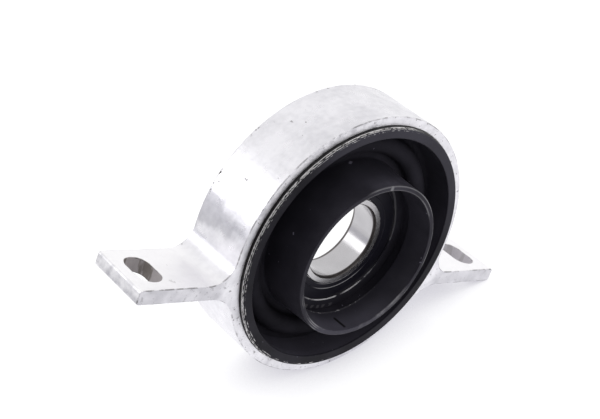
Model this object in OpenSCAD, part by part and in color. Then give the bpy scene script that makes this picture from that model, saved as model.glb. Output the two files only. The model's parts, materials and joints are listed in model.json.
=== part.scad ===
// Driveshaft centre bearing: an extruded bracket holds a ball bearing in a folded rubber mount.
// X runs from ear to ear, Y along the shaft with the open collar towards -Y, and Z up from the ears.
// The origin is the centre of the bearing, on the shaft's axis.

/* [Bracket] */
// Outer diameter of the bracket's ring
ring_od = 105; // [102:0.5:112]
// Wall of the ring
ring_wall = 3.5; // [3:0.1:5]
// Length of the bracket along the shaft
bracket_w = 25.5; // [23:0.5:32]
// Distance from the bearing's centre forward to the bracket's front face
front_reach = 11; // [10:0.1:12.5]
// Length over both ears
ear_span = 179; // [174:1:200]
// Thickness of the ears
ear_t = 5.5; // [4:0.1:8]
// Drop from the shaft's axis to the ears' upper faces
ear_drop = 12.9; // [6:0.1:18]
// Radius where an ear's upper face runs into the ring
upper_fillet = 8.5; // [3:0.5:12]
// Radius where an ear's lower face runs into the ring
lower_fillet = 13.5; // [4:0.5:16]
// Rounding of the ears' long tip edges
tip_round = 1.2; // [0.4:0.1:1.8]

/* [Bolt slots] */
// Distance from an ear's tip to the middle of its slot
tip_to_slot = 9.5; // [8:0.1:12]
// Width of a slot
slot_w = 9.5; // [8:0.1:11]
// Length of a slot along the shaft
slot_len = 15.5; // [12:0.1:19]

/* [Sleeve] */
// Wall of the steel sleeve
sleeve_wall = 1.5; // [1:0.1:2]
// How far the sleeve and its rubber rim stand out of the bracket's front
rim_proud = 2; // [1:0.1:4]
// How far the sleeve ends inside the bracket's back
sleeve_inset = 0.5; // [0.2:0.1:2]
// Bevel on the sleeve's front corner
sleeve_bevel = 0.4; // [0.2:0.1:0.8]

/* [Rubber mount] */
// Rubber layer inside the sleeve
layer_t = 2.5; // [2:0.1:3.5]
// Rubber skin over the sleeve's front end
rim_skin = 0.4; // [0.2:0.1:0.8]
// Thickness of the folded membrane
fold_t = 2; // [1.4:0.1:2.4]
// Depth of the membrane's crest behind the rim
crest_depth = 7.6; // [6:0.1:8.5]
// Distance from the sleeve's rear end to the end of the rubber layer
layer_inset = 2; // [1:0.1:4]
// Rubber wall round the bearing
hub_wall = 3.9; // [3.4:0.1:5]
// Reach of the retaining lips over the bearing's outer race
lip_reach = 3.2; // [2.6:0.1:3.6]
// Thickness of the front lip
front_lip_t = 0.4; // [0.3:0.1:0.8]
// Thickness of the rear lip
rear_lip_t = 0.8; // [0.5:0.1:1.5]

/* [Collar] */
// How far the collar stands out of the bracket's front
collar_proud = 9.9; // [6:0.1:14]
// Wall at the collar's rim
collar_wall = 1.8; // [1.4:0.1:2.4]
// How much slimmer the rim is than the hub, on the radius
collar_taper = 0.8; // [0.4:0.1:1.4]
// Step of the collar's throat inside the bearing's radius
throat_step = 0.4; // [0.2:0.1:1]
// Depth of the undercut behind the throat, beyond the bearing's radius
undercut_depth = 1.1; // [0.5:0.1:1.4]
// Length of the undercut
undercut_len = 4.2; // [3:0.1:5]

/* [Bearing] */
// Bore for the shaft
bore_d = 30; // [29:0.1:31]
// Outer diameter of the bearing
bearing_od = 55; // [53:0.1:57]
// Width of both races
bearing_w = 13; // [12.4:0.1:14.5]
// Wall of a race behind its raceway
race_floor = 2.628; // [2.4:0.05:3]
// Number of balls
ball_count = 11; // [8:1:11]
// Depth of a raceway as a share of the ball's diameter
groove_share = 0.206; // [0.16:0.005:0.22]
// Radius of the raceways over the ball's radius
groove_ratio = 1.03; // [1.02:0.005:1.06]
// Clearance between a ball and each raceway
ball_clear = 0.05; // [0.02:0.01:0.08]
// Length of the rounded lead-in at each end of the bore
lead_len = 1.6; // [0.8:0.1:2]
// Depth of that lead-in on the radius
lead_depth = 0.55; // [0.3:0.05:0.8]
// Chamfer on the outer race's corners
race_chamfer = 0.6; // [0.3:0.1:1]

/* [Seals] */
// Thickness of a seal
seal_t = 1; // [0.8:0.1:1.2]
// How far a seal lies behind the races' faces
seal_recess = 0.5; // [0.3:0.1:0.7]
// Step in the outer race that a seal seats in
seal_step_out = 1.1; // [0.8:0.1:1.3]
// Step in the inner race that a seal's lip runs over
seal_step_in = 1.55; // [1.2:0.05:1.8]
// Running gap between a seal's lip and the inner race
lip_gap = 0.2; // [0.1:0.05:0.3]
// Radius of the moulded bead round a seal
bead_r = 0.25; // [0.15:0.05:0.35]
// Distance of the bead from the inner race's step
bead_offset = 2.45; // [1.5:0.05:3.5]

/* [Cage] */
// Thickness of the cage's strip
strip_t = 0.8; // [0.5:0.1:0.9]
// Width of the strip on the radius
strip_w = 2.7; // [2:0.1:3]
// Least clearance between the cage and a seal
cage_gap = 0.3; // [0.1:0.05:0.5]
// Clearance of a ball in its pocket
pocket_clear = 0.12; // [0.06:0.02:0.2]
// Diameter of the rivets
rivet_d = 1.2; // [0.8:0.1:1.4]
// Diameter of the rivets' heads
rivet_head_d = 2; // [1.6:0.1:2.2]
// Height of the rivets' heads
rivet_head_h = 0.5; // [0.3:0.1:0.8]

/* [Hidden] */
// Sides of a drawn circle
$fn = 96;
// How far a cut runs past a face
cut = 1;

// Bracket
ring_r = ring_od / 2;
seat_r = ring_r - ring_wall;
bracket_front = -front_reach;
bracket_back = bracket_front + bracket_w;
bracket_mid = bracket_front + bracket_w / 2;
ear_top = -ear_drop;
ear_bottom = ear_top - ear_t;
slot_at = ear_span / 2 - tip_to_slot;

// Sleeve and rubber layer
rim_front = bracket_front - rim_proud;
sleeve_front = rim_front + rim_skin;
sleeve_back = bracket_back - sleeve_inset;
sleeve_ir = seat_r - sleeve_wall;
layer_r = sleeve_ir - layer_t;
layer_back = sleeve_back - layer_inset;

// Bearing
bore_r = bore_d / 2;
bearing_r = bearing_od / 2;
race_half = bearing_w / 2;
pitch_r = (bore_r + bearing_r) / 2;
seal_outside = race_half - seal_recess;
seal_inside = seal_outside - seal_t;
ball_in_races = (bearing_r - bore_r) / 2 - race_floor - ball_clear;
ball_in_seals = seal_inside - cage_gap - strip_t - pocket_clear;
ball_r = min(ball_in_races, ball_in_seals);
groove_r = ball_r * groove_ratio;
land_offset = ball_r + ball_clear - 2 * ball_r * groove_share;
inner_land_r = pitch_r - land_offset;
outer_land_r = pitch_r + land_offset;
seal_in_r = inner_land_r - seal_step_in;
seal_out_r = outer_land_r + seal_step_out;
inner_land_half = seal_inside - lip_gap;

// Hub and collar
hub_r = bearing_r + hub_wall;
lip_r = bearing_r - lip_reach;
front_lip = -race_half - front_lip_t;
rear_lip = race_half + rear_lip_t;
throat_r = bearing_r - throat_step;
throat_y = front_lip - undercut_len;
undercut_r = bearing_r + undercut_depth;
collar_front = bracket_front - collar_proud;
collar_or = hub_r - collar_taper;
collar_ir = collar_or - collar_wall;

// Folds of the membrane: two valleys and a crest of one mean radius fill the gap between hub and layer
valley_r = (layer_r - hub_r - 2 * fold_t) / 6;
crest_r = valley_r + fold_t;
fold_y = rim_front + crest_depth + crest_r;
inner_valley_at = hub_r + valley_r;
crest_at = hub_r + 2 * valley_r + crest_r;
outer_valley_at = layer_r - valley_r;

// Cage
ball_step = 360 / ball_count;
pocket_r = ball_r + pocket_clear;
bend_r = pocket_r + strip_t;
strip_ir = pitch_r - strip_w / 2;

// Turns a half section, drawn as radius and place along the shaft, round the shaft's axis
module turned() {
    rotate([-90, 0, 0])
        rotate_extrude()
            children();
}

// Draws its children at each ball's angle, on the pitch circle, plus a turn
module round_pitch(turn = 0) {
    for (i = [0:ball_count - 1])
        rotate([0, i * ball_step + turn, 0])
            translate([pitch_r, 0, 0])
                children();
}

// Centre of the fillet between the ring and an ear's face at height z; up is 1 above the ear and -1 below it
function fillet_centre(z, radius, up) =
    let (centre_z = z + up * radius)
        [sqrt(pow(ring_r + radius, 2) - pow(centre_z, 2)), centre_z];

// Wedge of metal in that corner, out to the fillet's centre
module fillet_wedge(z, radius, up) {
    centre = fillet_centre(z, radius, up);
    in_ring = centre * (ring_r - ring_wall / 2) / (ring_r + radius);
    in_ear = z - up * ear_t / 2;
    outline = [[in_ring.x, in_ear], [centre.x, in_ear], centre, in_ring];
    polygon(up > 0 ? outline : [for (i = [3:-1:0]) outline[i]]);
}

// Flat ear from the ring's middle out to a tip with two rounded edges
module ear_outline() {
    tip = ear_span / 2;
    translate([0, ear_bottom])
        square([tip - tip_round, ear_t]);
    translate([tip - tip_round - cut, ear_bottom + tip_round])
        square([tip_round + cut, ear_t - 2 * tip_round]);
    for (z = [ear_bottom + tip_round, ear_top - tip_round])
        translate([tip - tip_round, z])
            circle(tip_round);
}

// Extruded section of the bracket: ring, two ears and their fillets
module bracket_section() {
    difference() {
        union() {
            circle(ring_r);
            for (side = [0, 1])
                mirror([side, 0]) {
                    ear_outline();
                    fillet_wedge(ear_top, upper_fillet, 1);
                    fillet_wedge(ear_bottom, lower_fillet, -1);
                }
        }
        circle(seat_r);
        for (side = [0, 1])
            mirror([side, 0]) {
                translate(fillet_centre(ear_top, upper_fillet, 1))
                    circle(upper_fillet);
                translate(fillet_centre(ear_bottom, lower_fillet, -1))
                    circle(lower_fillet);
            }
    }
}

// Slot through an ear, long along the shaft
module bolt_slot() {
    end = (slot_len - slot_w) / 2;
    height = ear_t + 2 * cut;
    translate([0, 0, ear_bottom - cut]) {
        for (y = [-end, end])
            translate([0, y, 0])
                cylinder(d = slot_w, h = height);
        translate([-slot_w / 2, -end, 0])
            cube([slot_w, 2 * end, height]);
    }
}

module housing() {
    color("gainsboro")
        difference() {
            translate([0, bracket_back, 0])
                rotate([90, 0, 0])
                    linear_extrude(bracket_w)
                        bracket_section();
            for (side = [-1, 1])
                translate([side * slot_at, bracket_mid, 0])
                    bolt_slot();
        }
}

module outer_sleeve() {
    color("dimgray")
        turned()
            polygon([
                [sleeve_ir, sleeve_front],
                [seat_r - sleeve_bevel, sleeve_front],
                [seat_r, sleeve_front + sleeve_bevel],
                [seat_r, sleeve_back],
                [sleeve_ir, sleeve_back]
            ]);
}

// Half of a fold of the membrane; side is 1 for a valley, towards the rear, and -1 for a crest
module half_fold(at, side) {
    translate([at, fold_y])
        intersection() {
            difference() {
                circle(crest_r);
                circle(valley_r);
            }
            translate([-crest_r, side > 0 ? 0 : -crest_r])
                square([2 * crest_r, crest_r]);
        }
}

// Hub that grips the bearing between two lips, and the collar in front of it
module hub_section() {
    polygon([
        [lip_r, rear_lip],
        [lip_r, race_half],
        [bearing_r, race_half],
        [bearing_r, -race_half],
        [lip_r, -race_half],
        [lip_r, front_lip],
        [undercut_r, front_lip],
        [undercut_r, throat_y],
        [throat_r, throat_y],
        [collar_ir, collar_front],
        [collar_or, collar_front],
        [hub_r, fold_y],
        [hub_r, rear_lip]
    ]);
}

module rubber_section() {
    hub_section();
    half_fold(inner_valley_at, 1);
    half_fold(crest_at, -1);
    half_fold(outer_valley_at, 1);
    translate([layer_r, rim_front])
        square([layer_t, layer_back - rim_front]);
    translate([layer_r, rim_front])
        square([seat_r - sleeve_bevel - layer_r, rim_skin]);
}

module rubber_mount() {
    color("black")
        turned()
            rubber_section();
}

module outer_race() {
    color("silver")
        turned()
            difference() {
                polygon([
                    [seal_out_r, -race_half],
                    [bearing_r - race_chamfer, -race_half],
                    [bearing_r, -race_half + race_chamfer],
                    [bearing_r, race_half - race_chamfer],
                    [bearing_r - race_chamfer, race_half],
                    [seal_out_r, race_half],
                    [seal_out_r, seal_inside],
                    [outer_land_r, seal_inside],
                    [outer_land_r, -seal_inside],
                    [seal_out_r, -seal_inside]
                ]);
                translate([pitch_r + ball_r + ball_clear - groove_r, 0])
                    circle(groove_r);
            }
}

// Rounded mouth of the bore: an arc that leaves the wall smoothly and meets the face
module bore_lead() {
    arc_r = (lead_len * lead_len + lead_depth * lead_depth) / (2 * lead_depth);
    difference() {
        translate([bore_r - cut, race_half - lead_len])
            square([lead_depth + cut, lead_len + cut]);
        translate([bore_r + arc_r, race_half - lead_len])
            circle(arc_r);
    }
}

module inner_race() {
    color("silver")
        turned()
            difference() {
                polygon([
                    [bore_r, -race_half],
                    [seal_in_r, -race_half],
                    [seal_in_r, -inner_land_half],
                    [inner_land_r, -inner_land_half],
                    [inner_land_r, inner_land_half],
                    [seal_in_r, inner_land_half],
                    [seal_in_r, race_half],
                    [bore_r, race_half]
                ]);
                translate([pitch_r - ball_r - ball_clear + groove_r, 0])
                    circle(groove_r);
                bore_lead();
                mirror([0, 1])
                    bore_lead();
            }
}

// Seal disc on the rear side, with a bead round its outer face
module seal_section() {
    translate([seal_in_r + lip_gap, seal_inside])
        square([seal_out_r - seal_in_r - lip_gap, seal_t]);
    translate([seal_in_r + bead_offset, seal_outside])
        circle(bead_r);
}

module front_seal() {
    color("black")
        turned()
            mirror([0, 1])
                seal_section();
}

module rear_seal() {
    color("black")
        turned()
            seal_section();
}

// Round bar through the pitch circle, pointing away from the shaft
module pocket_bar(radius) {
    translate([-strip_w, 0, 0])
        rotate([0, 90, 0])
            cylinder(r = radius, h = 2 * strip_w);
}

// One half of the riveted strip cage, on the rear side: a flat ring bent out round each ball
module cage_half() {
    difference() {
        union() {
            turned()
                translate([strip_ir, 0])
                    square([strip_w, strip_t]);
            intersection() {
                round_pitch()
                    pocket_bar(bend_r);
                turned()
                    translate([strip_ir, 0])
                        square([strip_w, bend_r + cut]);
            }
        }
        round_pitch()
            pocket_bar(pocket_r);
        round_pitch(ball_step / 2)
            rotate([-90, 0, 0])
                translate([0, 0, -cut])
                    cylinder(d = rivet_d, h = strip_t + 2 * cut);
    }
}

module cage_front() {
    color("darkgray")
        mirror([0, 1, 0])
            cage_half();
}

module cage_rear() {
    color("darkgray")
        cage_half();
}

module rivet() {
    rotate([-90, 0, 0]) {
        translate([0, 0, -strip_t])
            cylinder(d = rivet_d, h = 2 * strip_t);
        for (z = [-strip_t - rivet_head_h, strip_t])
            translate([0, 0, z])
                cylinder(d = rivet_head_d, h = rivet_head_h);
    }
}

module cage_rivets() {
    color("lightgray")
        round_pitch(ball_step / 2)
            rivet();
}

// Ball number i, counted round the pitch circle from the +X side
module ball(i) {
    color("whitesmoke")
        rotate([0, (i - 1) * ball_step, 0])
            translate([pitch_r, 0, 0])
                sphere(ball_r);
}

housing();
outer_sleeve();
rubber_mount();
outer_race();
inner_race();
front_seal();
rear_seal();
cage_front();
cage_rear();
cage_rivets();
for (i = [1:ball_count])
    ball(i);
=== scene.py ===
"""Looks of a driveshaft centre bearing: aluminium bracket, folded rubber mount and sealed ball bearing.

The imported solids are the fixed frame. X runs from ear to ear, Y along the shaft with the open collar
towards -Y, and Z up from the ears. Lengths are in metres. An outline is a list of points in one plane, and
a point with a third value is a corner that is rounded by it."""

import json
import math

import bmesh
import bpy
from bpy.props import FloatProperty, FloatVectorProperty, PointerProperty
from mathutils import Matrix, Vector


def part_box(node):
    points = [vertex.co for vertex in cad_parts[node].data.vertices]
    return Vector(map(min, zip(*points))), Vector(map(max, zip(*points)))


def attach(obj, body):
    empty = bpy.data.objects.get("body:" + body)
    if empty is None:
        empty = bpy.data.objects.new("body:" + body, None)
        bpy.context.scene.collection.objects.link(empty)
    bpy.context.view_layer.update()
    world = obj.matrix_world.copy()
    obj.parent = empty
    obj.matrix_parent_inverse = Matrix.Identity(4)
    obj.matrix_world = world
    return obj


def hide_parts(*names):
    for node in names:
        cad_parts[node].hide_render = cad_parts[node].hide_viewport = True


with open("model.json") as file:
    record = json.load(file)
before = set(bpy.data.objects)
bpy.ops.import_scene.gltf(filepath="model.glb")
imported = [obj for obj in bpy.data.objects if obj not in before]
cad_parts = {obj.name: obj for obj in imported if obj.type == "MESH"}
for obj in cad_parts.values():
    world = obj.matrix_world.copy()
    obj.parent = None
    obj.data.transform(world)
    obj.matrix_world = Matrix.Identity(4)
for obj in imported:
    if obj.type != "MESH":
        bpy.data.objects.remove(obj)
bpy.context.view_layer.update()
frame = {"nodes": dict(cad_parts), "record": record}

bl_info = {
    "name": "Driveshaft Centre Bearing",
    "version": (1, 0, 0),
    "blender": (4, 5, 0),
    "location": "View3D > Sidebar > Centre Bearing",
    "description": "Builds the pieces, finishes and stage of a driveshaft centre bearing",
    "category": "Add Mesh",
}

MM = 0.001
TINY = 1e-6
FULL_TURN = 2 * math.pi
SHARP_ANGLE = math.radians(40)
SHAFT_AXIS = (0.0, 1.0, 0.0)
EDGE_ATTRIBUTE = "broken_edge"

# Steps of a full turn and of the arcs, and segments of a rounded corner
TURN_STEPS = 192
ARC_STEPS = 14
LOW_RING_STEPS = 30
HIGH_RING_STEPS = 48
SEAT_STEPS = 96
TIP_STEPS = 6
SLOT_STEPS = 48
LEAD_STEPS = 6
RACEWAY_STEPS = 18
BEAD_STEPS = 8
FLOOR_STEPS = 96
CORNER_SEGMENTS = 3
EDGE_SEGMENTS = 2

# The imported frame: boxes of the solids and the mounts' own sizes
MOUNTS = {mount["name"]: mount for mount in frame["record"]["mounts"]}
BRACKET_LOW, BRACKET_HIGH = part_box("housing")
SLEEVE_LOW, SLEEVE_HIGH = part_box("outer_sleeve")
RUBBER_LOW, RUBBER_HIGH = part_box("rubber_mount")
OUTER_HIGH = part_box("outer_race")[1]
INNER_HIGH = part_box("inner_race")[1]
SLOT = MOUNTS["right_ear_slot"]
BORE = MOUNTS["shaft_bore"]["dims"]
BALL_NODES = sorted(name for name in frame["nodes"] if name.startswith("ball_"))
CAGE_NODES = ["cage_front", "cage_rear", "cage_rivets"]

# Wear that has its own place, in degrees from the left side and millimetres

# Specks on the rubber: angle, place along the shaft and size
SPECKS = ((74.9, -3.0, 2.2), (11.4, -9.9, 1.1), (138.5, -20.0, 0.8), (-177.1, -20.6, 0.7),
          (179.6, -20.3, 0.6))
SPECK_TURN = math.degrees(0.6)

# Cut in the collar's wall: angle, place along the shaft, turn, length and width
CUT = (-95.2, -17.0, 74.0, 6.4, 1.7)

# Scratches on the sleeve: distance from its front corner, share of bright steel, and how broken it is
RIM_SCRATCHES = ((1.2, 1.0, 0.32), (1.6, 1.0, 0.4), (2.1, 1.0, 0.38), (2.9, 0.6, 0.47))
SCRATCH_HALF = 0.09

# Notches at the rubber's throat, and the middle of the dark reflection painted on the bracket's ring
NOTCH_SPACING = 6.5
NOTCH_RADII = (26.9, 27.8)
DARK_REFLECTION_ANGLE = 5.5

# Places of the colours among a Mix node's sockets, whose names repeat
MIX_FIRST, MIX_SECOND, MIX_RESULT = 6, 7, 2

# Values that finishes share
NO_LIGHT = (0.0, 0.0, 0.0)
RUBBER_SHEEN = (0.88, 0.86, 1.0, 1.0)
WORN_METAL = 0.25

# Stage, with directions in the floor's own frame
UPWARD = (0.0, 0.0, 1.0)
BACK_LEFT = (-0.8, 0.6, 0.0)
BEHIND_CAMERA = (-0.78, -0.62, 0.0)
SOFT_BOX_FROM = (-0.72, 0.52, 0.46)
SOFT_BOX_AWAY = 0.9
SOFT_BOX_SIZE = (0.7, 0.36)
WHITE = (1.0, 1.0, 1.0)
GAP_SHADE = (0.74, 0.74, 0.78)
ROOM_SHADE = (0.07, 0.07, 0.08)
CONTACT_SHADE = (0.5, 0.49, 0.54)
CONTACT_REACH = 35 * MM
FLOOR_SHADE = (0.1, 0.1, 0.105)
FLOOR_GLOW = 1.04
SEEN_GLOW = 1.05
SENSOR_WIDTH = 36.0
NEAR_CLIP = 10 * MM


def length(name, description, default):
    """Property for a size of the object."""
    return FloatProperty(name=name, description=description, default=default, precision=5, unit="LENGTH")


def colour(name, description, default):
    """Property for the colour of a finish."""
    return FloatVectorProperty(
        name=name, description=description, default=default, size=3, min=0.0, max=1.0, subtype="COLOR"
    )


def angle(name, description, degrees):
    """Property for an angle, with its default in degrees."""
    return FloatProperty(name=name, description=description, default=math.radians(degrees), subtype="ANGLE")


class BracketSizes(bpy.types.PropertyGroup):
    """Sizes of the aluminium bracket."""

    ring_radius: length("Ring radius", "Outer radius of the ring", BRACKET_HIGH.z)
    seat_radius: length("Seat radius", "Radius that the sleeve is pressed into", SLEEVE_HIGH.x)
    front: length("Front", "Place of the front face along the shaft", BRACKET_LOW.y)
    back: length("Back", "Place of the back face along the shaft", BRACKET_HIGH.y)
    ear_tip: length("Ear tip", "Distance from the shaft's axis to an ear's tip", BRACKET_HIGH.x)
    ear_top: length("Ear top", "Height of the ears' upper faces", SLOT["pos_m"][2])
    ear_thickness: length("Ear thickness", "Thickness of the ears", 5.5 * MM)
    upper_fillet: length("Upper fillet", "Radius where an ear's upper face runs into the ring", 8.5 * MM)
    lower_fillet: length("Lower fillet", "Radius where an ear's lower face runs into the ring", 13.5 * MM)
    tip_round: length("Tip rounding", "Rounding of the ears' long tip edges", 1.2 * MM)
    slot_at: length("Slot distance", "Distance from the shaft's axis to a slot", SLOT["pos_m"][0])
    slot_middle: length("Slot middle", "Place of the slots along the shaft", SLOT["pos_m"][1])
    slot_width: length("Slot width", "Width of a slot", 2 * SLOT["dims"]["hole_r_mm"] * MM)
    slot_length: length("Slot length", "Length of a slot along the shaft",
                        SLOT["dims"]["slot_length_mm"] * MM)
    edge_bevel: length("Edge bevel", "Break of the sawn edges", 0.35 * MM)


class RubberSizes(bpy.types.PropertyGroup):
    """Sizes of the steel sleeve and the rubber moulded into it."""

    sleeve_wall: length("Sleeve wall", "Wall of the steel sleeve", 1.5 * MM)
    sleeve_bevel: length("Sleeve bevel", "Bevel on the sleeve's front corner", SLEEVE_HIGH.x - RUBBER_HIGH.x)
    layer: length("Rubber layer", "Thickness of the rubber inside the sleeve", 2.5 * MM)
    rim_skin: length("Rim skin", "Rubber over the sleeve's front end", 0.4 * MM)
    fold: length("Fold thickness", "Thickness of the folded membrane", 2 * MM)
    crest_depth: length("Crest depth", "Depth of the membrane's crest behind the rim", 7.6 * MM)
    hub_wall: length("Hub wall", "Rubber round the bearing", 3.9 * MM)
    lip_reach: length("Lip reach", "Reach of the lips over the bearing's outer race", 3.2 * MM)
    front_lip: length("Front lip", "Thickness of the front lip", 0.4 * MM)
    rear_lip: length("Rear lip", "Thickness of the rear lip", 0.8 * MM)
    throat_step: length("Throat step", "Step of the collar's throat inside the bearing's radius", 0.4 * MM)
    undercut_depth: length("Undercut depth", "Depth of the undercut beyond the bearing's radius", 1.1 * MM)
    undercut_length: length("Undercut length", "Length of the undercut behind the throat", 4.2 * MM)
    collar_taper: length("Collar taper", "How much slimmer the collar's rim is than the hub", 0.8 * MM)
    collar_wall: length("Collar wall", "Wall at the collar's rim", 1.8 * MM)
    moulded_edge: length("Moulded edge", "Rounding of the rubber's edges", 0.22 * MM)


class BearingSizes(bpy.types.PropertyGroup):
    """Sizes of the races and seals."""

    lead_length: length("Lead-in length", "Rounded lead-in at each end of the bore",
                        INNER_HIGH.y - BORE["length_mm"] * MM / 2)
    lead_depth: length("Lead-in depth", "Depth of the lead-in on the radius", 0.55 * MM)
    ball_radius: length("Ball radius", "Radius of a ball", 3.572 * MM)
    ball_clear: length("Ball clearance", "Clearance between a ball and a raceway", 0.05 * MM)
    groove_radius: length("Raceway radius", "Radius of the raceways", 3.679 * MM)
    race_chamfer: length("Race chamfer", "Chamfer on the outer race's corners", 0.6 * MM)
    seal_thickness: length("Seal thickness", "Thickness of a seal", 1 * MM)
    seal_recess: length("Seal recess", "How far a seal lies behind the races' faces", 0.5 * MM)
    step_in: length("Inner step", "Step in the inner race that a seal's lip runs over", 1.55 * MM)
    step_out: length("Outer step", "Step in the outer race that a seal seats in", 1.1 * MM)
    lip_gap: length("Lip gap", "Running gap between a seal's lip and the inner race", 0.2 * MM)
    bead: length("Bead", "Radius of the moulded bead round a seal", 0.25 * MM)
    bead_offset: length("Bead offset", "Distance of the bead from the inner race's step", 2.45 * MM)
    ground_edge: length("Ground edge", "Break of the races' edges", 0.12 * MM)


class Finishes(bpy.types.PropertyGroup):
    """Colours of the materials."""

    aluminium: colour("Aluminium", "Bare extruded aluminium", (0.86, 0.85, 0.885))
    # Painted highlight: a lighter copy of the aluminium for the ears' unsawn faces, standing in for the
    # light on the ear tops
    clean_aluminium: colour("Clean aluminium", "Bare metal of the ears' flat faces", (0.98, 0.97, 0.985))
    # Also paints shade and reflection: the dark patch on the ring's left side and the shaded sawn faces of
    # the ears take this colour
    dull_aluminium: colour("Dull aluminium", "Stained patches of the aluminium", (0.47, 0.465, 0.50))
    grime: colour("Grime", "Dirt in nicks and pits", (0.16, 0.15, 0.15))
    # Painted shade: the slot walls are darkened for the shade and dark reflections inside the bolt slots
    slot_wall: colour("Slot wall", "Rough walls of the bolt slots", (0.50, 0.47, 0.475))
    slot_stain: colour("Slot stain", "Stains on the walls of the bolt slots", (0.28, 0.255, 0.24))
    rubber: colour("Rubber", "Moulded rubber", (0.024, 0.0225, 0.03))
    # Also paints sheen: the lighter top of the collar and the lighter bottom of the groove's wall and collar
    # take this colour
    dust: colour("Dust", "Specks and haze on the rubber", (0.325, 0.31, 0.40))
    # Also paints highlights: the light lines on the collar's rim, the lip and the throat, and the glints on
    # the seals take this colour
    worn_rubber: colour("Worn rubber", "Edges of the rubber that are rubbed pale", (0.66, 0.65, 0.67))
    coating: colour("Coating", "Black coating of the sleeve", (0.012, 0.011, 0.012))
    worn_steel: colour("Worn steel", "Sleeve where the coating is worn off", (0.95, 0.93, 0.93))
    race_steel: colour("Race steel", "Ground and polished bearing steel", (0.53, 0.52, 0.535))
    smeared_steel: colour("Smeared steel", "Oily smears on the races", (0.38, 0.375, 0.385))
    # Painted reflection: the bore's lead-ins are darkened to stand in for the dark surroundings they reflect
    lead_in: colour("Lead-in", "Dark turned lead-ins of the bore", (0.13, 0.118, 0.115))
    seal: colour("Seal", "Rubber of the bearing's seals", (0.0062, 0.0058, 0.011))
    cage_steel: colour("Cage steel", "Pressed steel strip", (0.46, 0.45, 0.44))
    ball_steel: colour("Ball steel", "Polished balls", (0.66, 0.66, 0.67))
    floor: colour("Floor", "Pale floor under the part", (0.97, 0.97, 0.98))


class StageSettings(bpy.types.PropertyGroup):
    """Camera, floor and light."""

    view_turn: angle("View turn", "Turn of the camera to the left of the shaft", 38.33)
    view_rise: angle("View rise", "Height of the camera over the floor", 37.52)
    view_roll: angle("View roll", "Roll of the camera about its own axis", 1.3)
    view_distance: length("View distance", "Distance of the camera from its aim", 504.6 * MM)
    focal_length: FloatProperty(name="Focal length", description="Camera's focal length in millimetres",
                                default=83.47, unit="CAMERA")
    aim: FloatVectorProperty(name="Aim", description="Point that the camera looks at", size=3, unit="LENGTH",
                             default=(-8.2 * MM, 11.15 * MM, 3.4 * MM))
    floor_radius: length("Floor radius", "Radius of the floor", 420 * MM)
    dome: FloatProperty(name="Dome", description="Brightness of the white surroundings", default=1.0,
                        min=0.0)
    key_power: FloatProperty(name="Key light", description="Power of the soft box at the back left",
                             default=1.05, min=0.0, unit="POWER")


class CentreBearingSettings(bpy.types.PropertyGroup):
    """All the sizes, colours and stage settings of the part."""

    bracket: PointerProperty(type=BracketSizes, name="Bracket", description="Sizes of the bracket")
    rubber: PointerProperty(type=RubberSizes, name="Rubber", description="Sizes of the sleeve and rubber")
    bearing: PointerProperty(type=BearingSizes, name="Bearing", description="Sizes of the races and seals")
    finishes: PointerProperty(type=Finishes, name="Finishes", description="Colours of the materials")
    stage: PointerProperty(type=StageSettings, name="Stage", description="Camera, floor and light")


# Outlines and meshes


def arc(centre, radius, start, end, steps=ARC_STEPS):
    """Points of an arc about a centre from a start to an end angle in degrees, both ends included."""
    turns = [math.radians(start + (end - start) * step / steps) for step in range(steps + 1)]
    return [(centre[0] + radius * math.cos(turn), centre[1] + radius * math.sin(turn)) for turn in turns]


def turned(outline):
    """Rounds the corners of a closed outline of (radius, along) points and spins it round the shaft."""
    bm = bmesh.new()
    ring = [bm.verts.new((point[0], point[1], 0.0)) for point in outline]
    bm.faces.new(ring)
    corners = {}
    for vert, point in zip(ring, outline):
        if len(point) == 3:
            corners.setdefault(point[2], []).append(vert)
    for rounding, verts in corners.items():
        bmesh.ops.bevel(bm, geom=verts, offset=rounding, offset_type="OFFSET", affect="VERTICES",
                        segments=CORNER_SEGMENTS, profile=0.5, material=-1, clamp_overlap=True)
    bmesh.ops.delete(bm, geom=bm.faces[:], context="FACES_ONLY")
    bmesh.ops.spin(bm, geom=bm.verts[:] + bm.edges[:], cent=(0, 0, 0), axis=SHAFT_AXIS, dvec=(0, 0, 0),
                   angle=FULL_TURN, steps=TURN_STEPS, use_merge=True)
    bmesh.ops.recalc_face_normals(bm, faces=bm.faces[:])
    return bm


def add_object(name, data):
    """Puts a new object at the origin of the scene."""
    item = bpy.data.objects.new(name, data)
    bpy.context.scene.collection.objects.link(item)
    return item


def add_piece(name, bm, finish, body, slot, *nodes):
    """Makes a bmesh an object at the origin that rides on its body and stands for its solids."""
    for face in bm.faces:
        face.smooth = True
    for edge in bm.edges:
        edge.smooth = edge.calc_face_angle(0.0) < SHARP_ANGLE
    mesh = bpy.data.meshes.new(name)
    bm.to_mesh(mesh)
    bm.free()
    mesh.materials.append(finish)
    piece = add_object(name, mesh)
    piece.modifiers.new("Even shading", "WEIGHTED_NORMAL").keep_sharp = True
    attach(piece, body)
    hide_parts(*nodes)


def dress_nodes(names, finish):
    """Gives solids that keep their own form a finish."""
    for name in names:
        for material_slot in frame["nodes"][name].material_slots:
            material_slot.material = finish


# Bracket


def fillet_centre(ring_radius, height, radius, up):
    """Centre of the fillet between the ring and an ear's face; up is 1 above the ear and -1 below it."""
    centre_z = height + up * radius
    return math.sqrt((ring_radius + radius) ** 2 - centre_z ** 2), centre_z


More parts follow.
